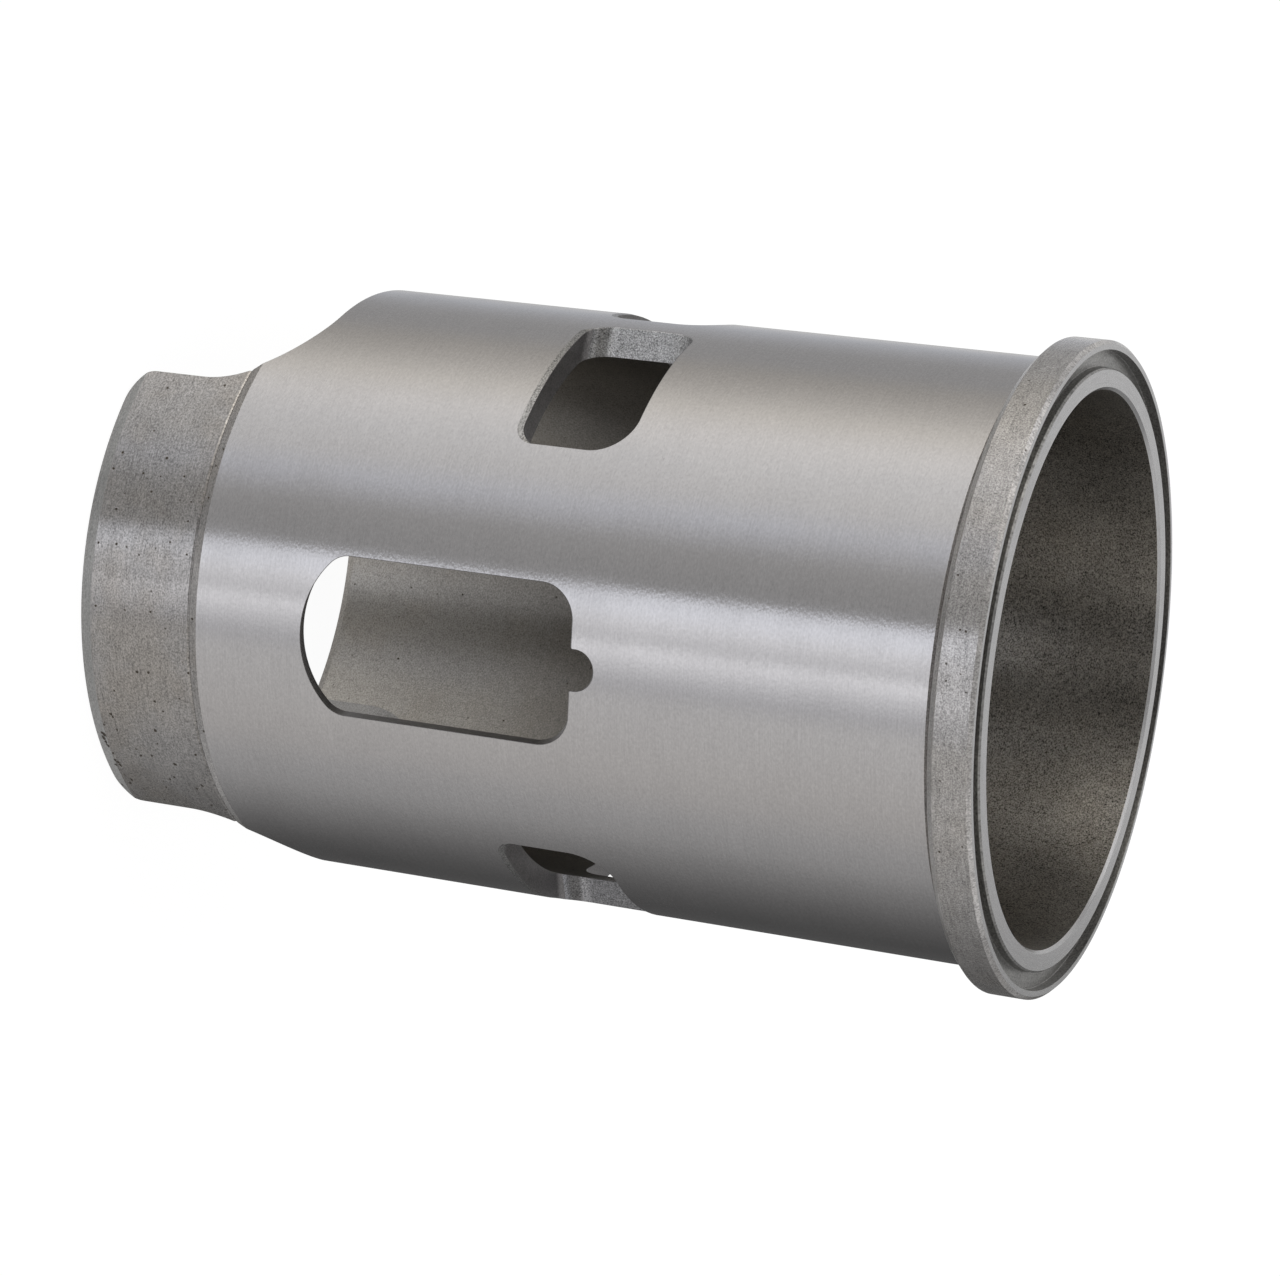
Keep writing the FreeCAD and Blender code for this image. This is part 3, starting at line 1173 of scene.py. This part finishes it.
@dataclass(frozen=True)
class IronFinish:
    """Cast iron as one way of machining leaves it.

    Drawn is how far the gloss is pulled out across the turning marks. The
    painted light bands are heights in millimetres with the share of the tone
    there, painted light and shade along the axis, and the grain is weaker
    below the height calm_below.
    """

    name: str
    tone: tuple[float, float, float]
    roughness: float
    drawn: float
    grains: tuple[Grain, ...]
    pores: Pores | None = None
    stain: float = 0.0
    stain_tint: tuple[float, float, float] = (0.9, 0.84, 0.75)
    pits: tuple[Pit, ...] = ()
    metal: float = 1.0
    calm_below: float | None = None
    painted_light_bands: tuple[tuple[float, float], ...] = ()

    def material(self) -> bpy.types.Material:
        """Makes the material.

        Returns:
            A metal whose grain, pores, pits and stains drive its colour, roughness and bump.
        """
        made = bpy.data.materials.new(self.name)
        graph = Graph.of(made)
        place = graph.node("ShaderNodeTexCoord", {}, {}, "Object")
        x = graph.node("ShaderNodeSeparateXYZ", {}, {0: place}, 0)
        y, z = x.beside(1), x.beside(2)
        shade, height = self.unevenness(graph, place, (x, y, z))
        rough = self.roughness + (graph.noise(place, ROUGH_SCALE, ROUGH_DETAIL) - 0.5) * ROUGH_SWING
        # Painted light and shade: the colour is scaled by height along the axis.
        if self.painted_light_bands:
            low, high = self.painted_light_bands[0][0], self.painted_light_bands[-1][0]
            stops = [((level - low) / (high - low), (tone,) * 3) for level, tone in self.painted_light_bands]
            shade = shade * graph.node("ShaderNodeValToRGB", {"stops": stops}, {0: (z / MM - low) / (high - low)})
        grey = graph.node("ShaderNodeCombineColor", {}, {0: shade, 1: shade, 2: shade})
        colour = graph.blend(1.0, (*self.tone, 1.0), grey, "MULTIPLY")
        if self.stain:
            patches = graph.span(graph.noise(place, *STAIN_NOISE), STAIN_FROM, STAIN_FULL) * self.stain
            colour = graph.blend(patches, colour, graph.blend(1.0, colour, (*self.stain_tint, 1.0), "MULTIPLY"))
        hollow = self.hollows(graph, place)
        if isinstance(hollow, Wire):
            hollow = graph.clamp(hollow)
            colour = graph.blend(hollow * HOLLOW_COVER, colour, HOLLOW_COLOUR)
            height = height - hollow * (self.pores.depth if self.pores else PIT_DEPTH)
            rough = rough + hollow * HOLLOW_ROUGH

        sockets: dict[str | int, Value] = {
            "Base Color": colour, "Metallic": self.metal, "Roughness": rough,
            "Anisotropic": self.drawn, "Anisotropic Rotation": QUARTER_TURN,
        }
        if isinstance(height, Wire):
            values = {"Strength": 1.0, "Distance": MM / 1000, "Height": height}
            sockets["Normal"] = graph.node("ShaderNodeBump", {}, values)
        metal = graph.node("ShaderNodeBsdfPrincipled", {}, sockets)
        graph.node("ShaderNodeOutputMaterial", {}, {"Surface": metal})
        return made

    def unevenness(self, graph: Graph, place: Wire, axes: tuple[Wire, Wire, Wire]) -> tuple[Value, Value]:
        """The grain's layers: noise in (x, y, distance from the axis plus z), drawn out round the axis.

        Args:
            graph: The material's nodes.
            place: Object coordinates.
            axes: Their x, y and z.

        Returns:
            The share of the tone, and the height in thousandths of a millimetre.
        """
        x, y, z = axes
        across = (x * x + y * y) ** 0.5 + z
        shade, height, strength = 1.0, 0.0, 1.0
        if self.calm_below is not None:
            low, high = (self.calm_below - CALM_REACH) * MM, (self.calm_below + CALM_REACH) * MM
            strength = graph.span(z, low, high, CALM_SHARE, 1.0)
        for grain in self.grains:
            if grain.stretch == 1.0:
                layer = graph.noise(place, 1 / (grain.size * MM), grain.detail)
            else:
                along = 1 / (grain.size * grain.stretch * MM)
                parts = {0: x * along, 1: y * along, 2: across / (grain.size * MM)}
                layer = graph.noise(graph.node("ShaderNodeCombineXYZ", {}, parts), 1.0, grain.detail)
            layer = (layer - 0.5) * NOISE_GAIN * strength
            shade = shade + layer * grain.tone
            if grain.depth:
                height = height + layer * grain.depth
        return shade, height

    def hollows(self, graph: Graph, place: Wire) -> Wire | float:
        """One in the pores and pits, and 0 outside.

        Args:
            graph: The material's nodes.
            place: Object coordinates.

        Returns:
            The mask, or 0 for a finish that has neither.
        """
        hollow = 0.0
        if self.pores:
            values = {"Vector": place, "Scale": 1 / (self.pores.spacing * MM)}
            cells = graph.node("ShaderNodeTexVoronoi", {}, values, "Distance")
            chance = graph.node("ShaderNodeSeparateColor", {}, {0: cells.beside("Color")}, 0)
            size = chance.beside(1) * self.pores.width
            holds = graph.node("ShaderNodeMath", {"operation": "LESS_THAN"}, {0: chance, 1: self.pores.share})
            hollow = graph.clamp((size - cells) * PORE_RIM) * holds
        for pit in self.pits:
            hollow = hollow + self.pit_mask(graph, place, pit)
        return hollow

    @staticmethod
    def pit_mask(graph: Graph, place: Wire, pit: Pit) -> Wire:
        """One where the surface lies within the pit, fading out over its rim, which noise makes uneven.

        Args:
            graph: The material's nodes.
            place: Object coordinates.
            pit: The pit.

        Returns:
            The mask.
        """

        def vector(operation: str, sockets: dict[str | int, Value], output: str | int = 0) -> Wire:
            """Adds a Vector Math node."""
            return graph.node("ShaderNodeVectorMath", {"operation": operation}, sockets, output)

        values = {"Vector": place, "Scale": PIT_NOISE, "Detail": 2.0}
        shift = vector("SUBTRACT", {0: graph.node("ShaderNodeTexNoise", {}, values, "Color"), 1: (0.5, 0.5, 0.5)})
        moved = vector("MULTIPLY_ADD", {0: shift, 1: (pit.radius * PIT_RAGGED * MM,) * 3, 2: place})
        gap = vector("DISTANCE", {0: moved, 1: pit.centre()}, "Value")
        return graph.span(gap, pit.radius * PIT_OUTER * MM, pit.radius * PIT_INNER * MM)


SKIRT_PITS = tuple(
    Pit(*pit)
    for pit in (
        (-61.6, 1.34, 0.30), (-60.5, 1.11, 0.30), (-59.5, 1.26, 0.24), (-58.7, 1.42, 0.25), (-61.7, 1.02, 0.20),
        (-56.9, 1.82, 0.17), (-54.9, 1.71, 0.20), (-54.4, 2.04, 0.23), (-53.4, 1.53, 0.20), (-53.6, 2.23, 0.24),
        (-49.3, 2.88, 0.22), (-48.1, 2.40, 0.22), (-67.0, 3.16, 0.19), (-66.4, 3.28, 0.17), (-63.3, 3.47, 0.15),
        (-50.6, 2.14, 0.13), (-64.7, 9.01, 0.18), (-69.5, 10.67, 0.14), (-59.9, 13.90, 0.15), (-56.4, 10.41, 0.18),
        (-51.2, 13.15, 0.18), (-51.5, 8.77, 0.15), (-52.4, 9.57, 0.15), (-44.6, 12.99, 0.15), (-46.7, 4.08, 0.14),
        (-46.2, 0.72, 0.19), (-48.6, 7.54, 0.14), (-59.0, 5.44, 0.14),
    )
)

FINISHES: dict[Zone, IronFinish] = {
    Zone.BODY: IronFinish(
        "ground_body", (0.525, 0.511, 0.511), 0.205, 0.9,
        (Grain(0.24, 0.044, 1.1, 1.7), Grain(0.12, 0.022, 0.1, 40.0), Grain(6.0, 0.008, 0.0, 2.0, 2.0)),
        pores=Pores(1.6, 0.1, 0.06, 4.0),
    ),
    Zone.SKIRT: IronFinish(
        "turned_skirt", (0.42, 0.406, 0.4), 0.2, 0.75,
        (Grain(0.2, 0.27, 0.5, 1.2, 2.0), Grain(0.2, 0.08, 0.2, 14.0), Grain(2.6, 0.04, 0.0, 1.5, 2.0)),
        pores=Pores(0.95, 0.55, 0.24), stain=0.45, pits=SKIRT_PITS, metal=0.67,
    ),
    Zone.CHAMFER: IronFinish(
        "skirt_chamfer", (0.47, 0.468, 0.462), 0.36, 0.6,
        (Grain(0.22, 0.17, 1.0, 1.2, 2.0), Grain(0.2, 0.05, 0.3, 10.0)),
        pores=Pores(1.3, 0.4, 0.15), pits=SKIRT_PITS, metal=0.62,
    ),
    Zone.FLANGE: IronFinish(
        "turned_flange", (0.517, 0.502, 0.495), 0.2, 0.75,
        (Grain(0.17, 0.31, 0.5, 1.1, 2.0), Grain(1.8, 0.06, 0.0, 1.5, 2.0), Grain(0.2, 0.08, 0.2, 14.0)),
        pores=Pores(1.1, 0.55, 0.2), stain=0.25, metal=0.58,
    ),
    Zone.FACE: IronFinish(
        "faced_head", (0.48, 0.475, 0.477), 0.25, 0.35,
        (Grain(0.24, 0.045, 0.8, 1.5), Grain(0.16, 0.04, 0.3, 20.0)), pores=Pores(1.0, 0.1, 0.12), metal=0.85,
    ),
    Zone.GROOVE: IronFinish(
        "gasket_groove", (0.3, 0.295, 0.285), 0.38, 0.6,
        (Grain(0.22, 0.3, 1.5, 1.5, 2.0), Grain(0.16, 0.08, 0.5, 20.0)),
    ),
    Zone.BORE: IronFinish(
        "honed_bore", (0.31, 0.293, 0.27), 0.34, 0.85,
        (Grain(0.18, 0.55, 1.2, 1.2, 2.0), Grain(1.2, 0.08, 0.0, 1.0, 2.0), Grain(7.0, 0.06, 0.0, 1.0, 2.0)),
        pores=Pores(1.3, 0.5, 0.17), stain=0.25, metal=0.88, calm_below=78.0,
        # Painted light towards the skirt end and painted shade between 40 and 60 mm up the bore.
        painted_light_bands=((0.0, 1.25), (14.0, 1.08), (28.0, 0.98), (40.0, 0.66), (60.0, 0.66), (74.0, 1.0)),
    ),
    Zone.WINDOW: IronFinish(
        "milled_window", (0.2, 0.192, 0.192), 0.42, 0.0,
        (Grain(0.2, 0.2, 1.5, 1.0, 2.0), Grain(1.6, 0.06, 1.0, 1.0, 2.0)), pores=Pores(1.2, 0.3, 0.12),
    ),
    Zone.ARCH: IronFinish(
        "cut_arch", (0.3, 0.29, 0.275), 0.42, 0.0,
        (Grain(0.2, 0.2, 2.0, 1.0, 2.0), Grain(2.0, 0.05, 3.0, 1.0, 2.0)), pores=Pores(1.2, 0.3, 0.13),
    ),
    # The far wall of the left-hand transfer ports, the lit copy; its bands are painted reflection streaks across the
    # lower fillet and painted shade at the top.
    Zone.END_WALL: IronFinish(
        "cast_end_wall", (0.5, 0.498, 0.505), 0.34, 0.0,
        (Grain(0.17, 0.45, 2.0, 1.0, 2.0), Grain(1.2, 0.08, 2.0, 1.0, 2.0)),
        pores=Pores(1.1, 0.3, 0.13), stain=0.15, metal=0.85,
        painted_light_bands=(
            (52.8, 0.4), (53.3, 0.42), (53.7, 0.72), (54.1, 0.45), (55.0, 0.42), (55.5, 1.05), (56.0, 1.05),
            (56.4, 0.9), (57.5, 1.0), (64.5, 1.0), (65.6, 0.7), (66.6, 0.65),
        ),
    ),
    Zone.RELIEF: IronFinish(
        "cast_relief", (0.33, 0.325, 0.322), 0.34, 0.3, (Grain(0.18, 0.5, 1.5, 1.0, 2.0),), metal=0.92,
    ),
}
# The flange's back chamfer: the flange's finish made lighter and mostly diffuse, a painted highlight.
FINISHES[Zone.FLANGE_BACK] = replace(FINISHES[Zone.FLANGE], name="flange_back_painted_highlight", tone=(0.74, 0.725, 0.715), metal=0.2)
# The far wall of the right-hand transfer ports: the end wall's finish at half the tone, painted shade, with painted
# reflection streaks in its bands.
FINISHES[Zone.SHADED_WALL] = replace(
    FINISHES[Zone.END_WALL], name="cast_end_wall_painted_shade", tone=(0.25, 0.25, 0.262),
    painted_light_bands=(
        (52.8, 1.0), (53.3, 1.15), (53.8, 0.75), (54.9, 0.72), (55.3, 1.5), (55.9, 1.5), (56.4, 1.0),
        (64.5, 0.95), (66.6, 0.8),
    ),
)


# Studio


class Tint(Enum):
    """The colour cast of a tent panel."""

    WARM = (1.035, 1.0, 0.93)
    PALE_WARM = (1.015, 1.0, 0.98)
    PLAIN = (1.0, 1.0, 1.0)
    PALE_COOL = (0.99, 1.0, 1.035)
    COOL = (0.97, 1.0, 1.07)


class Panel(NamedTuple):
    """One place in a ring of the tent: its direction round the axis in degrees, its level and its tint."""

    azimuth: float
    level: float
    tint: Tint = Tint.PLAIN


def ring(*panels: tuple) -> tuple[Panel, ...]:
    """A ring of panels, each given as its direction, its level and, unless it is plain, its tint."""
    return tuple(Panel(*panel) for panel in panels)


@dataclass(frozen=True)
class Studio:
    """A white room: a white world, a pale floor, and a light tent whose panels shape the reflections.

    The tent's tone goes smoothly from panel to panel round the axis, and from
    ring to ring with the rise, which is the sine of the elevation. Each pair
    gives where a change starts and where it is full. Metal sees the tent, and
    the camera the white room behind it.
    """

    tent_radius: float = 6.0
    tent_top: float = 89.9
    tent_rows: int = 49
    floor_rings: tuple[float, ...] = (0.0025, 1.0, 5.0)
    floor_drop: float = 0.1
    floor_light: float = 0.94
    floor_paint: float = 0.14
    room_light: float = 0.8
    segments: int = 96
    panels: tuple[Panel, ...] = ring(
        (0, 0.32), (16, 0.19), (28, 0.13), (42, 0.09), (66, 0.09), (80, 0.45), (92, 0.68), (102, 0.57, Tint.COOL),
        (124, 0.42), (138, 0.44), (148, 0.5, Tint.WARM), (160, 0.67, Tint.WARM), (172, 0.91, Tint.WARM),
        (184, 1.03, Tint.PALE_WARM), (196, 0.92), (210, 0.82), (220, 0.78, Tint.COOL), (232, 0.48), (249.6, 0.4),
        (251.4, 1.14, Tint.COOL), (257, 1.33, Tint.COOL), (263, 1.14, Tint.PALE_COOL), (268.3, 0.87, Tint.PALE_COOL),
        (273, 1.3, Tint.PALE_COOL), (278.5, 0.98, Tint.PALE_COOL), (286, 0.66, Tint.PALE_COOL), (292, 0.73),
        (316, 0.65, Tint.PALE_WARM), (328, 0.59, Tint.PALE_WARM), (340, 0.5), (352, 0.42), (360, 0.32),
    )
    upper_panels: tuple[Panel, ...] = ring(
        (0, 0.3), (40, 0.32), (66, 0.3), (90, 0.27), (140, 0.29), (163, 0.42, Tint.WARM), (176, 1.5, Tint.WARM),
        (190, 2.2, Tint.WARM), (206, 2.1, Tint.WARM), (216, 1.3, Tint.WARM), (232, 0.6, Tint.WARM), (245, 0.1),
        (257, 0.22), (265, 0.3), (275, 0.05), (284, 0.15), (293, 1.0, Tint.WARM), (304, 0.9, Tint.WARM),
        (318, 0.6, Tint.WARM), (335, 0.4, Tint.WARM), (360, 0.3),
    )
    lower_panels: tuple[Panel, ...] = ring(
        (0, 0.62), (20, 0.74), (44, 0.5), (56, 0.95), (72, 1.35), (86, 0.7), (104, 0.6), (120, 0.42), (170, 0.53),
        (204, 0.57), (220, 0.43), (236, 0.34), (252, 0.54), (268, 0.74), (284, 0.57), (332, 0.53), (348, 0.55),
        (360, 0.62),
    )
    above_panels: tuple[Panel, ...] = ring(
        (0, 0.8), (12, 0.88), (45, 0.7), (90, 0.38), (125, 0.46), (142, 1.2), (184, 1.0), (208, 0.5), (233, 0.3),
        (267, 0.48), (299, 0.43), (323, 0.66), (340, 0.74), (360, 0.8),
    )
    upper_rise: tuple[float, float] = (0.0, 0.12)
    lower_rise: tuple[float, float] = (-0.5, -0.72)
    above_rise: tuple[float, float] = (0.45, 0.65)
    rear_level: float = 0.71
    rear_y: tuple[float, float] = (0.55, 0.85)
    rear_rise: tuple[float, float] = (-0.1, 0.15)
    rear_x: tuple[float, float] = (0.3, 0.235)
    tent_scale: float = 0.7

    def build(self) -> None:
        """Makes the world, the floor and the tent."""
        self.world()
        self.floor()
        self.tent()

    def world(self) -> None:
        """A white world: full strength for what the camera, metal and glass see, and a little less as light."""
        world = bpy.data.worlds.new("white_room")
        bpy.context.scene.world = world
        graph = Graph.of(world)
        strength = self.room_light + self.seen_share(graph) * (1 - self.room_light)
        back = graph.node("ShaderNodeBackground", {}, {"Color": (1.0, 1.0, 1.0, 1.0), "Strength": strength})
        graph.node("ShaderNodeOutputWorld", {}, {"Surface": back})

    @staticmethod
    def seen_share(graph: Graph) -> Wire:
        """One for rays from the camera, from gloss and through glass."""
        rays = ("Is Camera Ray", "Is Glossy Ray", "Is Transmission Ray")
        camera, gloss, glass = (graph.node("ShaderNodeLightPath", {}, {}, ray) for ray in rays)
        return graph.clamp(camera + gloss + glass)

    def stage_rings(self, name: str, points: Array, caps: list[list[int]]) -> bpy.types.Object:
        """Makes a stage object of quads between closed rings of points.

        Args:
            name: The object's name.
            points: Positions in metres, shape (rings, segments, 3).
            caps: Further faces.

        Returns:
            The new object.
        """
        ids = np.arange(points.shape[0] * self.segments).reshape(-1, self.segments)
        ids = np.concatenate([ids, ids[:, :1]], 1)
        quads = np.stack([ids[:-1, :-1], ids[1:, :-1], ids[1:, 1:], ids[:-1, 1:]], -1).reshape(-1, 4)
        made = new_object(name, points.reshape(-1, 3), quads.tolist() + caps)
        return made

    def floor(self) -> None:
        """A pale round floor that keeps a faint shadow and stays out of the metal's reflections."""
        turn = np.linspace(0, TURN, self.segments + 1)[:-1]
        rings = np.array(self.floor_rings)[:, None]
        points = turned(rings, turn, -self.floor_drop * MM)
        made = self.stage_rings("studio_floor", points, [list(range(self.segments))])
        made.visible_glossy = False
        material = bpy.data.materials.new("pale_floor")
        graph = Graph.of(material)
        strength = self.seen_share(graph) * self.floor_light
        paint = graph.node("ShaderNodeBsdfDiffuse", {}, {"Color": (self.floor_paint,) * 3 + (1.0,)})
        glow = graph.node("ShaderNodeEmission", {}, {"Color": (1.0, 1.0, 1.0, 1.0), "Strength": strength})
        both = graph.node("ShaderNodeAddShader", {}, {0: paint, 1: glow})
        graph.node("ShaderNodeOutputMaterial", {}, {"Surface": both})
        made.data.materials.append(material)

    def tent(self) -> None:
        """A sphere round the studio, with the panels' tones on it, which only reflections and light see.

        Points: radius times (cos e cos a, cos e sin a, sin e) over a grid of
        azimuth a and elevation e, from the top down, so that its faces point
        outwards.
        """
        azimuth = np.linspace(0, TURN, self.segments + 1)[:-1]
        elevation = np.radians(np.linspace(self.tent_top, -self.tent_top, self.tent_rows))[:, None]
        points = self.tent_radius * turned(np.cos(elevation), azimuth, np.sin(elevation))
        made = self.stage_rings("light_tent", points, [])
        made.visible_camera = False
        made.visible_shadow = False
        material = bpy.data.materials.new("tent_panels")
        graph = Graph.of(material)
        place = graph.node("ShaderNodeTexCoord", {}, {}, "Object")
        x = graph.node("ShaderNodeSeparateXYZ", {}, {0: place}, 0)
        y, rise = x.beside(1), x.beside(2) / self.tent_radius
        turn = graph.node("ShaderNodeMath", {"operation": "ARCTAN2"}, {0: y, 1: x}) / TURN
        share = graph.node("ShaderNodeMath", {"operation": "FRACT"}, {0: turn + 1.0})
        rings = []
        for panels in (self.panels, self.upper_panels, self.lower_panels, self.above_panels):
            stops = [
                (panel.azimuth / 360, [panel.level * self.tent_scale * part for part in panel.tint.value])
                for panel in panels
            ]
            rings.append(graph.node("ShaderNodeValToRGB", {"stops": stops}, {0: share}))
        around, upper, lower, above = rings
        colour = graph.blend(graph.span(rise, *self.upper_rise), around, upper)
        colour = graph.blend(graph.span(rise, *self.lower_rise), colour, lower)
        rear = graph.span(y / self.tent_radius, *self.rear_y) * graph.span(rise, *self.rear_rise)
        rear = rear * graph.span(x / self.tent_radius, *self.rear_x)
        colour = graph.blend(rear, colour, (self.rear_level * self.tent_scale,) * 3 + (1.0,))
        colour = graph.blend(graph.span(rise, *self.above_rise), colour, above)
        glow = graph.node("ShaderNodeEmission", {}, {"Color": colour, "Strength": 1 / self.tent_scale})
        graph.node("ShaderNodeOutputMaterial", {}, {"Surface": glow})
        made.data.materials.append(material)
        material.cycles.emission_sampling = "NONE"


@dataclass(frozen=True)
class PhotoCamera:
    """The camera at the photograph's viewing angle, in metres."""

    place: tuple[float, float, float] = (-0.0947, -0.43824, 0.24362)
    right: tuple[float, float, float] = (-0.05296, 0.38288, 0.92228)
    down: tuple[float, float, float] = (0.98488, -0.1325, 0.11156)
    lens: float = 110.86
    sensor: float = 36.0
    shift: tuple[float, float] = (-0.0542, -0.1125)

    def build(self) -> None:
        """Makes the camera, squares its axes and sets it as the scene's own."""
        data = bpy.data.cameras.new("photo_camera")
        data.lens, data.sensor_width, data.sensor_fit = self.lens, self.sensor, "HORIZONTAL"
        data.shift_x, data.shift_y = self.shift
        data.clip_start, data.clip_end = 0.01, 100.0
        made = bpy.data.objects.new("photo_camera", data)
        right, down = unit(np.array(self.right)), np.array(self.down)
        up = unit((down @ right) * right - down)
        matrix = np.eye(4)
        matrix[:3] = np.column_stack([right, up, np.cross(right, up), self.place])
        made.matrix_world = Matrix(matrix.tolist())
        bpy.context.scene.collection.objects.link(made)
        bpy.context.scene.camera = made


def main() -> None:
    """Builds the studio, the camera and the liner."""
    logging.basicConfig(level=logging.INFO, format="%(name)s: %(message)s")
    bpy.context.scene.view_settings.view_transform = "Standard"
    PhotoCamera().build()
    Studio().build()
    liner = LinerMesh().build("liner")
    for zone in Zone:
        liner.data.materials.append(FINISHES[zone].material())
    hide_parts("cylinder_liner")
    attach(liner, "root")
    LOG.info("%s: %d triangles, %d vertices", liner.name, len(liner.data.polygons), len(liner.data.vertices))


if __name__ == "__main__":
    main()
